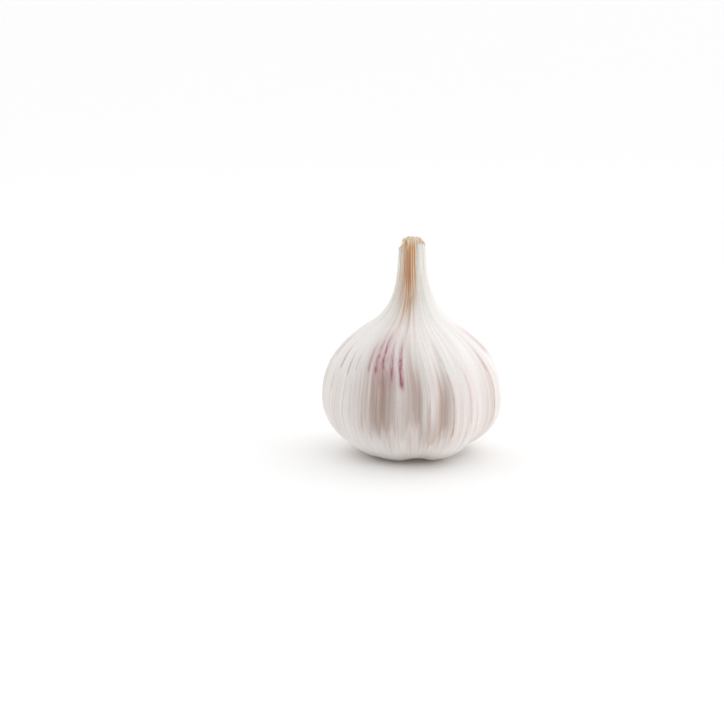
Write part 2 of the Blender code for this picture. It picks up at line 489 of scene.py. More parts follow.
# %% [markdown]
# The neck was cut and has dried, so its rim is ragged, and its front has torn open over the brown leaf
# inside. The tear could be cut out of the mesh, but that leaves open edges. Here the skin is pressed in
# behind the leaf where it is torn, so it stays closed.

# %% Ragged rim and torn front
def rim_height(tree, get, east, south, degrees):
    """The height that the sheath is cut off at, at each angle: ragged, and lower at both sides."""
    coarse = tree.noise(tree.xyz(east * 5.0, south * 5.0, get["Seed"] + 3.0)) - 0.5
    fine = tree.noise(tree.xyz(east * 24.0, south * 24.0, get["Seed"] + 7.0), 4.0, 0.7) - 0.5
    left = (degrees + 92.0).bell(46.0)
    right = (degrees - 85.0).bell(40.0)
    height = get["Rim Height"] - left * get["Left Drop"] - right * get["Right Drop"]
    return height + (coarse * 1.2 + fine * 1.6) * get["Rim Raggedness"]


def neck_gap(tree, get, east, south, degrees, height):
    """1 where the sheath is torn open at the neck's front, 0 where it is whole. The tear has ragged sides."""
    torn = tree.noise(tree.xyz(east * 3.0, south * 3.0, height * 330.0 + get["Seed"]), 3.0, 0.65) - 0.5
    middle = height.ramp(50 * MM, 70 * MM, -9.0, 0.0)
    here = degrees + torn * 16.0 - middle
    left = here.ramp(get["Gap Left"] - 3.0, get["Gap Left"] + 2.0)
    right = here.ramp(get["Gap Right"] - 14.0, get["Gap Right"] + 6.0, 1.0, 0.0)
    return left * right * (height + torn * (3.0 * MM)).ramp(48 * MM, 60 * MM)


# %% The sheath rule
NECK_SLANT = 1.03  # how much longer the outline is than its height, in the neck
FOLD_LENGTH = 60 * MM  # the height over which a pleat turns into another one
FIRST_ROW, LAST_ROW = 0.0005, 0.9995


def sheath_tree():
    """A closed sheath: up the outline outside, over the rim, down inside, with both ends at the axis."""
    tree, get, identifiers = geometry_tree("sheath", SHEATH_INPUTS)
    grid, across, along = flat_grid(tree, get)
    turn = across + 0.5
    row = along + 0.5
    east = (turn * math.tau).math("SINE")
    south = (turn * math.tau).math("COSINE") * -1.0
    degrees = ((turn + 0.5).math("FRACT") - 0.5) * 360.0

    # where along the outline each row lies
    rim = rim_height(tree, get, east, south, degrees)
    rim = 1.0 - (SHEATH_TOP - rim) * (NECK_SLANT / OUTLINE_LENGTH)
    outside = (row / OUTER_SHARE).math("MINIMUM", 1.0)
    inside = ((row - OUTER_SHARE) / (1.0 - OUTER_SHARE)).math("MAXIMUM", 0.0)
    start = get["Start"]
    up = start + outside * (1.0 - start)
    up = up - (1.0 - rim) * outside.ramp(0.45, 1.0)
    floor = 1.0 - (SHEATH_TOP - get["Floor Height"]) * (1.0 / OUTLINE_LENGTH)
    factor = up + (floor - rim) * inside
    profile = tree.add("GeometryNodeObjectInfo", None, {"Object": get["Outline"]}, output="Geometry")
    place = tree.add("GeometryNodeSampleCurve", {"mode": "FACTOR"},
                     {"Curves": profile, "Factor": factor}, output="Position")
    radius, _, height = tree.parts(place)

    # the cloves press the skin out, and it sinks between them and lifts off the surface there
    round_turn = (turn - FIRST_CREST / 360).math("FRACT")
    lobe = tree.add("ShaderNodeFloatCurve", {"points": ring_points(LOBES)}, {"Value": round_turn})
    foot = tree.add("ShaderNodeFloatCurve", {"points": ring_points(FEET)}, {"Value": round_turn})
    share = height.ramp(4.0 * MM, 16.0 * MM)
    sink = (lobe * lobe * share + foot * foot * (1.0 - share)) * get["Lobe Share"]
    low = height.ramp(48.0 * MM, 20.0 * MM)
    body = height.ramp(46.0 * MM, 30.0 * MM)
    lifted = height.ramp(11.0 * MM, 0.0) * radius.ramp(11.5 * MM, 15.0 * MM)

    # pleats run up over the shoulder into the neck, and ribs run all the way
    seed = get["Seed"]
    tall = height * (1.0 / FOLD_LENGTH)
    lumps = tree.noise(tree.xyz(east * 1.6, south * 1.6, height * 40.0 + seed)) - 0.5
    fibre_turn = (turn + twist(height) / 360) * math.tau
    fibre_east = fibre_turn.math("SINE")
    fibre_south = fibre_turn.math("COSINE") * -1.0
    pleats = tree.noise(tree.xyz(fibre_east * 11.0, fibre_south * 11.0, tall + seed), 2.0) - 0.5
    ribs = tree.noise(tree.xyz(fibre_east * 27.0, fibre_south * 27.0, tall * 1.5 + seed), 2.0, 0.6) - 0.5
    folded = height.ramp(12.0 * MM, 42.0 * MM, 0.1, 1.0) * height.ramp(52.0 * MM, 64.0 * MM, 1.0, 0.55)
    under = height.ramp(2.0 * MM, 7.0 * MM, 1.6, 0.0)
    move = lumps * get["Lumpiness"] * body + pleats * (folded + under) * get["Pleat Depth"] * 2.0
    fine = height.ramp(16.0 * MM, 40.0 * MM, 0.45, 1.0) * height.ramp(45.0 * MM, 62.0 * MM, 1.0, 0.5)
    move = move + ribs * fine * get["Rib Depth"] * 2.0
    inset = get["Inset"] * height.ramp(48.0 * MM, 60.0 * MM, 0.45, 1.0)
    inset = inset + height.ramp(65.5 * MM, 72.5 * MM) * get["Top Taper"]
    inset = inset + height.ramp(51.0 * MM, 45.0 * MM) * get["Foot Inset"]
    gap = neck_gap(tree, get, east, south, degrees, height) * get["Gap Depth"]
    gap = gap * height.ramp(65 * MM, 70 * MM, 1.0, 2.0)
    radius = radius + move - sink * low * DEEPEST - inset - gap - inside.ramp(0.0, 0.15) * get["Wall"]
    height = height + sink * lifted * get["Valley Lift"]

    # both end rows are drawn in to the axis; values are stored before the grid is bent, or they would change
    first = row > FIRST_ROW
    last = row < LAST_ROW
    radius = radius * first * last
    place = tree.xyz(east * radius - lean(height), south * radius, height)
    sheet = grid
    # the valley depth is stored for the skin's material, which uses it to paint shade into the valleys
    for name, value in {"valley": sink * low, "inside": inside, "cut": rim - factor}.items():
        settings = {"data_type": "FLOAT", "domain": "POINT"}
        inputs = {"Geometry": sheet, "Name": name, "Value": value}
        sheet = tree.add("GeometryNodeStoreNamedAttribute", settings, inputs)
    bend(tree, sheet, place, get["Material"])
    return tree.tree, identifiers


sheath_group, sheath_ids = sheath_tree()
print("sheath rule:", len(sheath_group.nodes), "nodes")

# %% [markdown]
# A rule only shows as a modifier on some object. An empty seed carries it, its inputs are set by their
# identifiers, and the evaluated result is copied out as a plain mesh. The seed goes, modifier and all.

# %% From a rule to a plain mesh
def triangles(mesh):
    return sum(len(face.vertices) - 2 for face in mesh.polygons)


def grown(name, group, identifiers, **inputs):
    """A plain mesh object made by a Geometry Nodes tree, with its inputs given by their names."""
    seed = bpy.data.objects.new(name + "_seed", bpy.data.meshes.new(name + "_seed"))
    bpy.context.scene.collection.objects.link(seed)
    modifier = seed.modifiers.new("grow", "NODES")
    modifier.node_group = group
    for label, value in inputs.items():
        modifier[identifiers[label.replace("_", " ")]] = value
    bpy.context.view_layer.update()
    shape = bpy.data.meshes.new_from_object(seed.evaluated_get(bpy.context.evaluated_depsgraph_get()))
    bpy.data.objects.remove(seed)
    shape.name = name
    piece = bpy.data.objects.new(name, shape)
    bpy.context.scene.collection.objects.link(piece)
    print(f"{name}: {len(shape.vertices)} points, {triangles(shape)} triangles")
    return piece


# %% [markdown]
# Dry garlic skin is paper-thin, white and slightly see-through, so the cloves' lilac shows between its
# white fibres. The fibres run from root to neck. An unwrapped picture would stretch and show a seam. So
# each point is placed by its direction from the axis, on a circle of radius one, and by its height. Noise
# on those three can be drawn out along the fibres, and it closes on itself behind the bulb.

# %% Fibre coordinates
def new_material(name):
    material = bpy.data.materials.new(name)
    material.use_nodes = True
    return material, Tree(material.node_tree), material.node_tree.nodes["Principled BSDF"]


def link(tree, value, shader, socket):
    tree.tree.links.new(value.socket, shader.inputs[socket])


def add_relief(tree, shader, height, strength, depth):
    """Fine relief that only bends the light, up to this depth."""
    bump = tree.add("ShaderNodeBump", None, {"Strength": strength, "Distance": depth, "Height": height})
    link(tree, bump, shader, "Normal")


def fibre_coordinates(tree):
    """East, south, height, metres from the axis and degrees, of the shaded point."""
    place = tree.add("ShaderNodeTexCoord", None, None, output="Object")
    x, y, z = tree.parts(place)
    flat = tree.xyz(x, y, 0.0)
    away = tree.add("ShaderNodeVectorMath", {"operation": "LENGTH"}, {0: flat}, output="Value")
    away = away.math("MAXIMUM", 0.01 * MM)
    degrees = (x + lean(z)).math("ARCTAN2", y * -1.0) * (180 / math.pi) + twist(z)
    turn = degrees * (math.pi / 180)
    return turn.math("SINE"), turn.math("COSINE") * -1.0, z, away, degrees


def streaks(tree, spot, count, length, detail=2.0, offset=0.0):
    """Noise drawn out along the fibres: about count streaks round the bulb, each about length long."""
    east, south, height = spot[:3]
    k = count / 6.0  # the circle of radius one is about 6 long
    return tree.noise(tree.xyz(east * k + offset, south * k, height * (1.0 / length)), detail, 0.55)


# %% [markdown]
# Some marks belong to one place on this bulb: the violet strokes on its shoulder and the tan veins. The
# painted shade over the hollows between the cloves and on their shaded sides is placed the same way.
# Noise can't place them. So each is one line of colour along a fibre, soft at its sides and both ends, and
# lists say where they lie, at the back in the same manner as at the front.

# %% Strokes along the fibres
FOOT_SHARE, HEAD_SHARE = 0.2, 0.65  # of a stroke's length, over which it fades at its lower and upper end


def strongest(values):
    """The largest of several values."""
    best = values[0]
    for value in values[1:]:
        best = best.math("MAXIMUM", value)
    return best


def stroke(spot, wobble, angle, low, high, width, strength):
    """A line of colour along a fibre, at an angle in degrees. Its ends and its width are in mm."""
    _, _, height, away, degrees = spot
    aside = (degrees - angle).math("WRAP", 180.0, -180.0) * (math.pi / 180) * away + wobble
    tall = high - low
    foot = height.ramp(low * MM, (low + tall * FOOT_SHARE) * MM)
    head = height.ramp(high * MM, (high - tall * HEAD_SHARE) * MM)
    return aside.bell(width * MM) * foot * head * strength


# each mark: degrees from the front, lowest and highest height in mm, width in mm, strength
VIOLET = (
    (-7.8, 26, 45, 0.8, 1.1),
    (-14.8, 28, 44, 0.7, 0.95),
    (-21.4, 31, 46, 0.7, 1.05),
    (-26.6, 29.5, 46, 0.7, 0.95),
    (-32.6, 30, 44, 0.6, 0.6),
    (-19, 25, 50, 5, 0.36),
    (-43, 31, 38, 0.35, 0.35),
    (-50, 29, 38, 0.4, 0.5),
    (-60, 30, 40, 0.45, 0.55),
    (-66, 22, 33, 0.4, 0.4),
    (-79, 32, 43, 1.3, 0.4),
    (82, 33, 45, 2.4, 0.45),
    (63, 29, 40, 0.4, 0.4),
    (45.6, 8, 26, 0.35, 0.55),
    (46.5, 3.5, 10, 0.4, 0.6),
    (37.5, 11, 43, 0.35, 0.34),
    (23, 34, 43, 0.35, 0.3),
    (148, 29, 41, 0.65, 0.8),
    (154, 27, 40, 0.6, 0.65),
    (163, 29, 43, 0.5, 0.7),
    (151, 25, 45, 4, 0.15),
    (-155, 28, 39, 0.6, 0.6),
    (-148, 30, 43, 0.55, 0.75),
    (100, 29, 40, 0.5, 0.5),
    (109, 26, 39, 0.55, 0.65),
    (-112, 29, 41, 0.55, 0.6),
    (-119, 28, 38, 0.5, 0.45),
)
TAN = (
    (24.6, 5, 46, 0.32, 0.85),
    (63.5, 9, 44, 0.32, 0.65),
    (16.6, 8, 40, 0.28, 0.5),
    (9, 3, 42, 0.25, 0.5),
    (3.2, 12, 38, 0.28, 0.5),
    (-1.8, 13, 40, 0.24, 0.35),
    (-12.6, 8, 38, 0.24, 0.45),
    (-35.5, 10, 40, 0.32, 0.5),
    (-17, 4, 20, 0.2, 0.45),
    (-3, 3, 26, 0.22, 0.4),
    (35, 4, 22, 0.22, 0.35),
    (52, 10, 34, 0.22, 0.35),
    (-82, 24, 34, 0.3, 0.5),
    (92, 3, 34, 0.3, 0.6),
    (132, 3, 30, 0.3, 0.6),
    (171, 3, 33, 0.3, 0.6),
    (-148, 3, 31, 0.3, 0.6),
    (-108, 3, 33, 0.3, 0.6),
    (-71, 3, 30, 0.25, 0.4),
)
# painted shade: where the skin is darkened over the hollows between the cloves and on their shaded sides
PAINTED_SHADES = (
    (-22.5, 10, 42, 5.4, 1.1),
    (-31, 22, 46, 2.4, 0.35),
    (0.5, 13, 46, 2.3, 0.95),
    (-5, 10, 42, 4, 0.65),
    (17.5, 10, 38, 2.8, 0.95),
    (11.5, 7.5, 27, 4.4, 0.75),
    (2, 2, 30, 11, 0.2),
    (172, 5, 28, 4, 0.6),
    (132, 5, 28, 4, 0.5),
    (-148, 5, 28, 4, 0.6),
    (-109, 5, 28, 3, 0.4),
)
print(len(VIOLET), "violet strokes,", len(TAN), "veins,", len(PAINTED_SHADES), "shades")

# %% [markdown]
# The skin's colour is laid on like glazes, from the widest to the finest: white fibres, whiter on the
# shoulder and with painted floor light on the lowest band, painted shade over the hollows, veins, violet
# strokes, the creamy neck with its tan fibres, the brown strip at its front, a grain like paper, and the
# stain under the bulb. Each glaze is one Mix whose share is a mask made of the fibre coordinates.

# %% The skin's material
def stalk_mask(spot, fibre):
    """1 in the brown strip at the neck's front, which leans left on its way down and has ragged sides."""
    _, _, height, _, degrees = spot
    middle = height.ramp(46 * MM, 70 * MM, -12.0, -8.0)
    half = height.ramp(46 * MM, 70 * MM, 17.0, 25.0)
    side = abs(degrees - middle) - half + (fibre - 0.5) * 46.0
    return side.ramp(-8.0, 12.0, 1.0, 0.0)


PAPER_GRAIN = 2200.0  # specks to the metre


def skin_material():
    material, tree, shader = new_material("garlic_skin")
    spot = fibre_coordinates(tree)
    east, south, height, away, degrees = spot
    fine = streaks(tree, spot, 340, 30 * MM, 3.0)
    medium = streaks(tree, spot, 120, 45 * MM, 2.0, 3.0)
    broad = streaks(tree, spot, 22, 60 * MM, 1.0, 7.0)
    patch = tree.noise(tree.xyz(east * 1.7, south * 1.7, height * 45.0), 2.0)

    # white fibres over skin that lets the cloves' lilac through, less so on the shoulder; the band nearest
    # the ground is whitened too, which is painted light bounced up from the floor
    cover = (fine * 0.5 + medium * 0.5).ramp(0.36, 0.6)
    # the first ramp is the shoulder; the second whitens the lowest band as painted light from the floor
    shoulder = height.ramp(24 * MM, 40 * MM) + height.ramp(12 * MM, 5 * MM)
    colour = tree.mix(cover, rgb(235, 224, 219), rgb(250, 247, 245))
    colour = tree.mix(broad.ramp(0.42, 0.62) * 0.25, colour, rgb(232, 219, 217))
    colour = tree.mix(patch.ramp(0.5, 0.75) * 0.25, colour, rgb(240, 232, 223))
    colour = tree.mix(shoulder * 0.65, colour, rgb(252, 250, 248))

    # painted shade: a warm darkening over the hollows between the cloves and on the cloves' shaded sides,
    # grained by the fibres; the valley depth adds to it
    drift = (streaks(tree, spot, 30, 40 * MM, 1.0, 13.0) - 0.5) * (2.5 * MM)
    ragged = (east, south, height + (medium - 0.5) * (20 * MM), away, degrees)
    shade = strongest([stroke(ragged, drift, *place) for place in PAINTED_SHADES])
    valley = tree.add("ShaderNodeAttribute", {"attribute_name": "valley"}, None, output="Fac")
    shade = (shade + valley * 0.2) * (medium * 0.7 + fine * 0.3).ramp(0.36, 0.6, 1.0, 0.72)
    colour = tree.mix(shade * 0.92, colour, rgb(184, 160, 148))

    # thin veins: some are placed, and others lie where a broad noise crosses its middle
    wobble = (streaks(tree, spot, 60, 9 * MM, 2.0, 5.0) - 0.5) * (0.9 * MM)
    crossing = abs(streaks(tree, spot, 80, 80 * MM, 1.0, 11.0) - 0.5)
    vein = crossing.ramp(0.0, 0.022, 1.0, 0.0) * patch.ramp(0.3, 0.6) * 0.22
    placed = strongest([stroke(spot, wobble, *line) for line in TAN])
    broken = streaks(tree, spot, 160, 5 * MM, 2.0, 6.0).ramp(0.3, 0.55, 0.45, 1.0)
    colour = tree.mix(vein.math("MAXIMUM", placed * broken), colour, rgb(206, 158, 130))

    # violet strokes on the shoulder, grained like a dry brush
    violet = strongest([stroke(spot, wobble * 0.6, *line) for line in VIOLET])
    grain = streaks(tree, spot, 420, 2.0 * MM, 2.0, 2.0).ramp(0.36, 0.58, 0.5, 1.1)
    colour = tree.mix(violet * grain, colour, rgb(174, 102, 118))

    # the neck is creamier, with tan fibres that fan out over the shoulder, and brown shows at its front
    neck = height.ramp(42 * MM, 60 * MM)
    colour = tree.mix(neck * 0.7, colour, rgb(251, 246, 237))
    fibre = streaks(tree, spot, 150, 30 * MM, 2.0, 9.0)
    front = (degrees + 14.0).bell(50.0)
    tans = fibre.ramp(0.5, 0.66) * (neck * 0.35 + height.ramp(33 * MM, 46 * MM) * front * 0.35)
    colour = tree.mix(tans, colour, rgb(218, 186, 152))
    stain = stalk_mask(spot, fibre) * (height + (fibre - 0.5) * (28 * MM)).ramp(42 * MM, 54 * MM)
    colour = tree.mix(stain * 0.85, colour, rgb(206, 158, 114))
    threads = (degrees + 44.0).bell(13.0) * fibre.ramp(0.44, 0.54) * height.ramp(46 * MM, 56 * MM)
    colour = tree.mix(threads * 0.7, colour, rgb(214, 156, 96))

    # the dry surface has a grain like paper
    x, y, z = tree.parts(tree.add("ShaderNodeTexCoord", output="Object"))
    paper = tree.noise(tree.xyz(x * PAPER_GRAIN, y * PAPER_GRAIN, z * (PAPER_GRAIN / 2)), 2.0, 0.7)
    colour = tree.mix(paper.ramp(0.5, 0.66) * 0.14, colour, rgb(206, 188, 180))

    # it is mixed towards tan near the ground, and under the bulb it is gathered to the root plate and stained
    # by it
    colour = tree.mix(height.ramp(5.5 * MM, 1.5 * MM) * 0.4, colour, rgb(222, 205, 182))
    under = height.ramp(4.5 * MM, 2.0 * MM) * away.ramp(18 * MM, 11 * MM)
    colour = tree.mix(under * fibre.ramp(0.36, 0.56, 0.35, 0.9), colour, rgb(196, 162, 122))

    link(tree, colour, shader, "Base Color")
    link(tree, 0.5 - cover * 0.06 + patch * 0.1, shader, "Roughness")
    relief = fine * 0.5 + medium * 0.6 + streaks(tree, spot, 700, 18 * MM, 2.0, 4.0) * 0.3
    add_relief(tree, shader, relief, 0.4, 0.25 * MM)
    shader.inputs["Subsurface Weight"].default_value = 0.2
    shader.inputs["Subsurface Radius"].default_value = (1.0, 0.7, 0.6)
    shader.inputs["Subsurface Scale"].default_value = 1.2 * MM
    shader.inputs["Sheen Weight"].default_value = 0.1
    return material


skin_finish = skin_material()
print("skin material:", len(skin_finish.node_tree.nodes), "nodes")

# %% The skin
skin = grown("bulb_skin", sheath_group, sheath_ids, Outline=outline, Material=skin_finish)
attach(skin, "root")
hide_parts("bulb")

# %% [markdown]
# Inside the cut skin of the neck stands an older leaf, dry and brown, ribbed like a stalk. It is a sheath
# too, so the same rule makes it: slimmer than the skin, with a foot drawn in under it, no lobes and no torn
# front. Its brown strip lies in the same place as the skin's, because both materials share one mask.

# %% Brown leaf material
def brown_material():
    material, tree, shader = new_material("brown_sheath")
    spot = fibre_coordinates(tree)
    east, south, height, _, degrees = spot
    fine = streaks(tree, spot, 64, 50 * MM, 3.0)
    fibre = streaks(tree, spot, 150, 30 * MM, 2.0, 9.0)
    broad = streaks(tree, spot, 26, 60 * MM, 2.0, 5.0)
    brown = tree.mix(fine.ramp(0.4, 0.58), rgb(206, 146, 98), rgb(240, 212, 178))
    dark = (degrees + 16.0).bell(14.0) * height.ramp(73 * MM, 66 * MM)
    brown = tree.mix(dark * fine.ramp(0.4, 0.64, 0.9, 0.6), brown, rgb(188, 120, 76))
    pale = tree.mix(fine.ramp(0.42, 0.56), rgb(222, 178, 128), rgb(252, 246, 236))
    colour = tree.mix(stalk_mask(spot, fibre), pale, brown)
    fade = (height + (fibre - 0.5) * (24 * MM)).ramp(59 * MM, 51 * MM)
    colour = tree.mix(fade * 0.75, colour, rgb(238, 226, 212))

    orange = fine.ramp(0.5, 0.44) * (degrees + 8.0).bell(34.0) * height.ramp(61 * MM, 68 * MM)
    colour = tree.mix(orange * 0.6, colour, rgb(228, 166, 96))

    # the cut end is bleached and frayed, with orange specks
    end = (height + (fine - 0.5) * (9 * MM)).ramp(68.0 * MM, 71.5 * MM)
    colour = tree.mix(end * 0.85, colour, rgb(252, 240, 220))
    speck = tree.noise(tree.xyz(east * 5.0, south * 5.0, height * 420.0), 2.0).ramp(0.47, 0.6)
    here = (degrees + 18.0).bell(40.0) * 0.7 + 0.3
    colour = tree.mix(speck * height.ramp(67 * MM, 70 * MM) * here * 0.85, colour, rgb(226, 160, 82))
    link(tree, colour, shader, "Base Color")
    link(tree, 0.6 + fine * 0.15, shader, "Roughness")
    add_relief(tree, shader, fine + broad, 0.6, 0.3 * MM)
    shader.inputs["Subsurface Weight"].default_value = 0.1
    shader.inputs["Subsurface Scale"].default_value = 0.8 * MM
    return material


brown = brown_material()
print("brown leaf material:", len(brown.node_tree.nodes), "nodes")

# %% Inner sheath
inner = grown(
    "inner_sheath_leaf", sheath_group, sheath_ids, Outline=outline, Material=brown, Columns=240, Rows=150,
    Start=0.64, Inset=0.42 * MM, Foot_Inset=1.6 * MM, Wall=0.5 * MM, Floor_Height=62 * MM,
    Rim_Height=71.2 * MM, Top_Taper=0.95 * MM, Left_Drop=0.5 * MM, Right_Drop=0.7 * MM,
    Rim_Raggedness=1.0 * MM, Gap_Depth=0.0, Lobe_Share=0.0, Seed=2.0)
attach(inner, "root")
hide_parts("inner_sheath")

# %% [markdown]
# The middle of the neck is a tight roll of the youngest leaf. Rings set inside each other would look like a
# tree's. A leaf rolled on itself is a spiral with a wall, so a grid is wound along the spiral and back
# again a wall's thickness away, and the two faces meet at every edge.

# %% Rolled leaf in the neck
ROLL_INPUTS = {
    "Material": (MATERIAL, None),
    "Columns": (INT, 520),
    "Rows": (INT, 26),
    "Turns": (FLOAT, 4.6),
    "Inner Radius": (FLOAT, 0.3 * MM),
    "Outer Radius": (FLOAT, 3.3 * MM),
    "Wall": (FLOAT, 0.64 * MM),
    "Bottom": (FLOAT, 62.5 * MM),
    "Top": (FLOAT, 70.9 * MM),
    "Raggedness": (FLOAT, 2.0 * MM),
    "Top Taper": (FLOAT, 0.24),
}


def roll_tree():
    """A leaf rolled round the axis: out along one face of it and back along the other."""
    tree, get, identifiers = geometry_tree("roll", ROLL_INPUTS)
    grid, across, row = flat_grid(tree, get)
    row = row + 0.5
    along = 1.0 - abs(across * 2.0)
    face = (across < 0.0) * 2.0 - 1.0
    angle = along * get["Turns"] * math.tau
    east = angle.math("SINE")
    south = angle.math("COSINE") * -1.0
    ragged = tree.noise(tree.xyz(east * 4.0, south * 4.0, along * 9.0), 4.0, 0.7) - 0.5
    crinkle = tree.noise(tree.xyz(east * 2.5, south * 2.5, along * 5.0), 2.0) - 0.5
    height = get["Bottom"] + row * (get["Top"] + ragged * get["Raggedness"] - get["Bottom"])
    thick = row.ramp(0.0, 0.1) * row.ramp(1.0, 0.965) * along.ramp(0.0, 0.02) * along.ramp(1.0, 0.98)
    radius = get["Inner Radius"] + (get["Outer Radius"] - get["Inner Radius"]) * along
    radius = radius + crinkle * (0.8 * MM) * along + face * thick * get["Wall"] * 0.5
    pressed = tree.noise(tree.xyz(east * 0.9, south * 0.9, 2.0), 1.0) - 0.5
    radius = radius * (1.0 + pressed * 0.7 - height.ramp(65.5 * MM, 72.5 * MM) * get["Top Taper"])
    place = tree.xyz(east * radius - lean(height), south * radius, height)
    bend(tree, grid, place, get["Material"])
    return tree.tree, identifiers


roll = grown("neck_roll", *roll_tree(), Material=brown)
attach(roll, "root")
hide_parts("inner_sheath")

# %% [markdown]
# Dry leaves don't cut cleanly: loose fibres stand up along the cut. Hair particles could do this, but they
# don't export. One thin bent spike is drawn once and set all over the band of skin next to the cut, which
# the sheath rule marked with an attribute.

# %% Frayed fibres
FRAY_INPUTS = {
    "Surface": (OBJECT, None),
    "Material": (MATERIAL, None),
    "Density": (FLOAT, 2.6e6),
    "Band": (FLOAT, 0.012),
    "Length": (FLOAT, 1.1 * MM),
    "Width": (FLOAT, 0.07 * MM),
    "Spread": (FLOAT, 0.2),
    "Seed": (INT, 1),
}
SHORTEST, LONGEST = 0.35, 1.1  # of a spike, as a share of Length


def marked(tree, name):
    """An attribute that an earlier rule stored on the surface."""
    return tree.add("GeometryNodeInputNamedAttribute", {"data_type": "FLOAT"}, {"Name": name})


def fray_tree():
    """Thin bent spikes on the outside of a sheath, next to its cut."""
    tree, get, identifiers = geometry_tree("fray", FRAY_INPUTS)
    shape = {"Radius Top": 0.0, "Radius Bottom": get["Width"], "Depth": get["Length"]}
    spike = tree.add("GeometryNodeMeshCone", None, {"Vertices": 5, "Side Segments": 4, **shape})
    _, _, up = tree.parts(tree.add("GeometryNodeInputPosition"))
    curl = (up / get["Length"]) ** 2.0 * get["Length"] * 0.3
    spike = tree.add("GeometryNodeSetPosition", None, {"Geometry": spike, "Offset": tree.xyz(curl)})
    surface = tree.add("GeometryNodeObjectInfo", None, {"Object": get["Surface"]}, output="Geometry")
    chosen = (marked(tree, "cut") < get["Band"]) * (marked(tree, "inside") < 0.02)
    inputs = {"Mesh": surface, "Selection": chosen, "Density": get["Density"], "Seed": get["Seed"]}
    points = tree.add("GeometryNodeDistributePointsOnFaces", None, inputs)
    spread = get["Spread"]
    least = tree.xyz(spread * -1.0, spread * -1.0, 0.0)
    most = tree.xyz(spread, spread, math.tau)
    inputs = {"Min": least, "Max": most, "Seed": get["Seed"]}
    tilt = tree.add("FunctionNodeRandomValue", {"data_type": "FLOAT_VECTOR"}, inputs)
    inputs = {2: SHORTEST, 3: LONGEST, "Seed": get["Seed"]}
    size = tree.add("FunctionNodeRandomValue", {"data_type": "FLOAT"}, inputs, output=1)
    spikes = tree.add("GeometryNodeInstanceOnPoints", None,
                      {"Points": points, "Instance": spike, "Rotation": tilt, "Scale": size})
    finish_tree(tree, spikes, get["Material"])
    return tree.tree, identifiers


def fray_material():
    material, tree, shader = new_material("dry_fibre")
    spot = fibre_coordinates(tree)
    tone = tree.noise(tree.xyz(spot[0] * 9.0, spot[1] * 9.0, spot[2] * 400.0), 2.0).ramp(0.42, 0.6)
    link(tree, tree.mix(tone, rgb(232, 196, 146), rgb(252, 246, 236)), shader, "Base Color")
    shader.inputs["Roughness"].default_value = 0.7
    return material


fray_group, fray_ids = fray_tree()
fibre_finish = fray_material()
FRAYED = (
    ("skin_fibres", skin, "bulb", "skin", 2.4e6),
    ("inner_fibres", inner, "inner_sheath", "inner_sheath", 2.0e6),
)
for name, sheath, node, slot, density in FRAYED:
    fibres = grown(name, fray_group, fray_ids, Surface=sheath, Material=fibre_finish, Density=density)
    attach(fibres, "root")
    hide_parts(node)

# %% [markdown]
# The root plate is a corky disc with a ragged edge and a dished underside. A plain cylinder would look
# turned on a lathe, so a grid is wrapped over a rounded section and roughened by noise. Its lowest points
# are cut off level, because the bulb rests on them.

# %% Root plate
PLATE_INPUTS = {
    "Material": (MATERIAL, None),
    "Columns": (INT, 260),
    "Rows": (INT, 110),
    "Radius": (FLOAT, PLATE_RADIUS - 0.4 * MM),
    "Bottom": (FLOAT, 0.35 * MM),
    "Top": (FLOAT, PLATE_TOP + 0.1 * MM),
    "Dish": (FLOAT, 0.7 * MM),
    "Ridges": (FLOAT, 0.5 * MM),
    "Ground": (FLOAT, 0.03 * MM),
}


FLATNESS = 0.55  # of the disc's section: 1 would be a ball, and less is flatter


def plate_tree():
    """A rough round disc, dished underneath, with both ends of the grid drawn in to the axis."""
    tree, get, identifiers = geometry_tree("plate", PLATE_INPUTS)
    grid, across, along = flat_grid(tree, get)
    east = (across * math.tau).math("SINE")
    south = (across * math.tau).math("COSINE") * -1.0
    swing = (along + 0.5) * math.pi
    out = swing.math("SINE").math("MAXIMUM", 0.0)
    down = swing.math("COSINE")
    spread = out ** FLATNESS
    middle = (get["Top"] + get["Bottom"]) * 0.5
    thick = (get["Top"] - get["Bottom"]) * 0.5
    below = down.ramp(0.0, 0.3)
    ridges = tree.noise(tree.xyz(east * 9.0, south * 9.0, spread * 2.5), 3.0, 0.6) - 0.5
    cork = tree.noise(tree.xyz(east * spread * 9.0, south * spread * 9.0, 4.0), 4.0, 0.65) - 0.5
    radius = get["Radius"] * spread * (1.0 + ridges * 0.06)
    height = middle - down * abs(down).math("MAXIMUM", 0.0001) ** (FLATNESS - 1.0) * thick
    rough = (cork + ridges * spread) * get["Ridges"]
    height = height + below * (spread.ramp(0.85, 0.2) * get["Dish"] + rough)
    place = tree.xyz(east * radius, south * radius, height.math("MAXIMUM", get["Ground"]))
    bend(tree, grid, place, get["Material"])
    return tree.tree, identifiers


# %% [markdown]
# The roots that grew from the plate have been cropped to short stubs. They are one short peg, set out at
# random: lying nearly flat at the rim, and standing on end towards the middle. Pegs that would pass the
# ground are flattened on it.

# %% Cropped roots
STUB_INPUTS = {
    "Material": (MATERIAL, None),
    "Count": (INT, 210),
    "Inner Radius": (FLOAT, 5.2 * MM),
    "Outer Radius": (FLOAT, 11.2 * MM),
    "Height": (FLOAT, 1.15 * MM),
    "Length": (FLOAT, 1.7 * MM),
    "Width": (FLOAT, 0.42 * MM),
    "Ground": (FLOAT, 0.02 * MM),
    "Seed": (INT, 5),
}


STANDING = math.radians(165)
LAID = math.radians(62)  # how much further a stub leans at the rim


def chance(tree, get, low, high, step):
    """A random number for each point, the same on each run. Each use has its own step of the seed."""
    inputs = {2: low, 3: high, "Seed": get["Seed"] + float(step)}
    return tree.add("FunctionNodeRandomValue", {"data_type": "FLOAT"}, inputs, output=1)


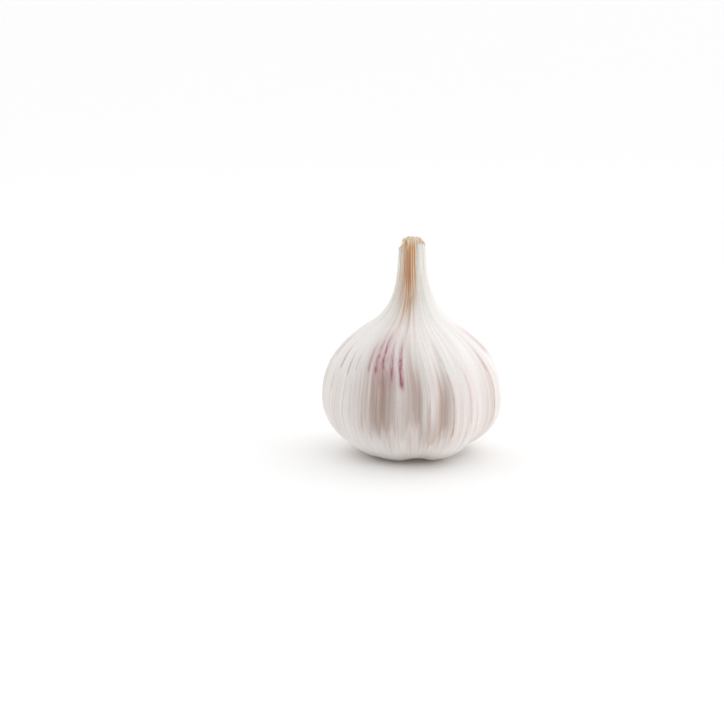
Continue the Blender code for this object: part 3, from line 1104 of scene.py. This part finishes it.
def stub_tree():
    """Cropped roots: short bent pegs all round the disc."""
    tree, get, identifiers = geometry_tree("stubs", STUB_INPUTS)
    shape = {"Radius Top": get["Width"] * 0.75, "Radius Bottom": get["Width"], "Depth": get["Length"]}
    peg = tree.add("GeometryNodeMeshCone", None, {"Vertices": 8, "Side Segments": 3, **shape})
    line = tree.add("GeometryNodeMeshLine", None, {"Count": get["Count"]})
    angle = chance(tree, get, 0.0, math.tau, 1)
    share = chance(tree, get, 0.0, 1.0, 2) ** 0.5
    away = get["Inner Radius"] + (get["Outer Radius"] - get["Inner Radius"]) * share
    place = tree.xyz(angle.math("COSINE") * away, angle.math("SINE") * away, get["Height"])
    points = tree.add("GeometryNodeSetPosition", None, {"Geometry": line, "Position": place})
    tilt = STANDING - share.ramp(0.4, 1.0) * LAID
    tilt = tilt + chance(tree, get, -0.16, 0.16, 3)
    size = chance(tree, get, 0.75, 1.2, 4)
    long = share.ramp(0.5, 1.0, 0.5, 1.35) * chance(tree, get, 0.8, 1.1, 6)
    pegs = tree.add("GeometryNodeInstanceOnPoints", None,
                    {"Points": points, "Instance": peg, "Rotation": tree.xyz(0.0, tilt, angle),
                     "Scale": tree.xyz(size, size, long)})
    pegs = tree.add("GeometryNodeRealizeInstances", None, {"Geometry": pegs})
    x, y, z = tree.parts(tree.add("GeometryNodeInputPosition"))
    place = tree.xyz(x, y, z.math("MAXIMUM", get["Ground"]))
    pegs = tree.add("GeometryNodeSetPosition", None, {"Geometry": pegs, "Position": place})
    finish_tree(tree, pegs, get["Material"])
    return tree.tree, identifiers


# %% [markdown]
# Cork and cropped root are the same dry brown stuff, lighter on the roots and pitted on the disc, so one
# recipe with four settings makes both. Grain runs all ways through it, and rays run out from the middle.
# The pits are not modelled: they are dark spots of painted shade.

# %% Cork and root materials
def cork_material(name, light, dark, pit_shade_share):
    material, tree, shader = new_material(name)
    place = tree.add("ShaderNodeTexCoord", None, None, output="Object")
    x, y, z = tree.parts(place)
    east, south, _, away, _ = fibre_coordinates(tree)
    grain = tree.noise(tree.xyz(x * 900.0, y * 900.0, z * 900.0), 4.0, 0.65)
    rays = tree.noise(tree.xyz(east * 16.0, south * 16.0, away * 240.0), 3.0)
    colour = tree.mix((grain * 0.5 + rays * 0.5).ramp(0.38, 0.6), dark, light)
    # painted shade: dark spots where the pits would be, which are not modelled
    painted_pit_shade = tree.noise(tree.xyz(x * 600.0, y * 600.0, z * 600.0 + 3.0), 1.0).ramp(0.62, 0.7)
    colour = tree.mix(painted_pit_shade * pit_shade_share, colour, rgb(96, 62, 38))
    link(tree, colour, shader, "Base Color")
    link(tree, 0.72 + grain * 0.2, shader, "Roughness")
    add_relief(tree, shader, grain + rays, 0.7, 0.2 * MM)
    return material


cork = cork_material("corky_root", rgb(214, 184, 146), rgb(164, 120, 80), 0.8)
stub_finish = cork_material("root_stub", rgb(228, 200, 158), rgb(178, 124, 74), 0.3)
disc = grown("root_disc", *plate_tree(), Material=cork)
stubs = grown("root_stubs", *stub_tree(), Material=stub_finish)
for piece in (disc, stubs):
    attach(piece, "root")
    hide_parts("root_plate")

# %% [markdown]
# The outline was only a helper, so it goes.

# %% The outline goes
bpy.data.objects.remove(outline)
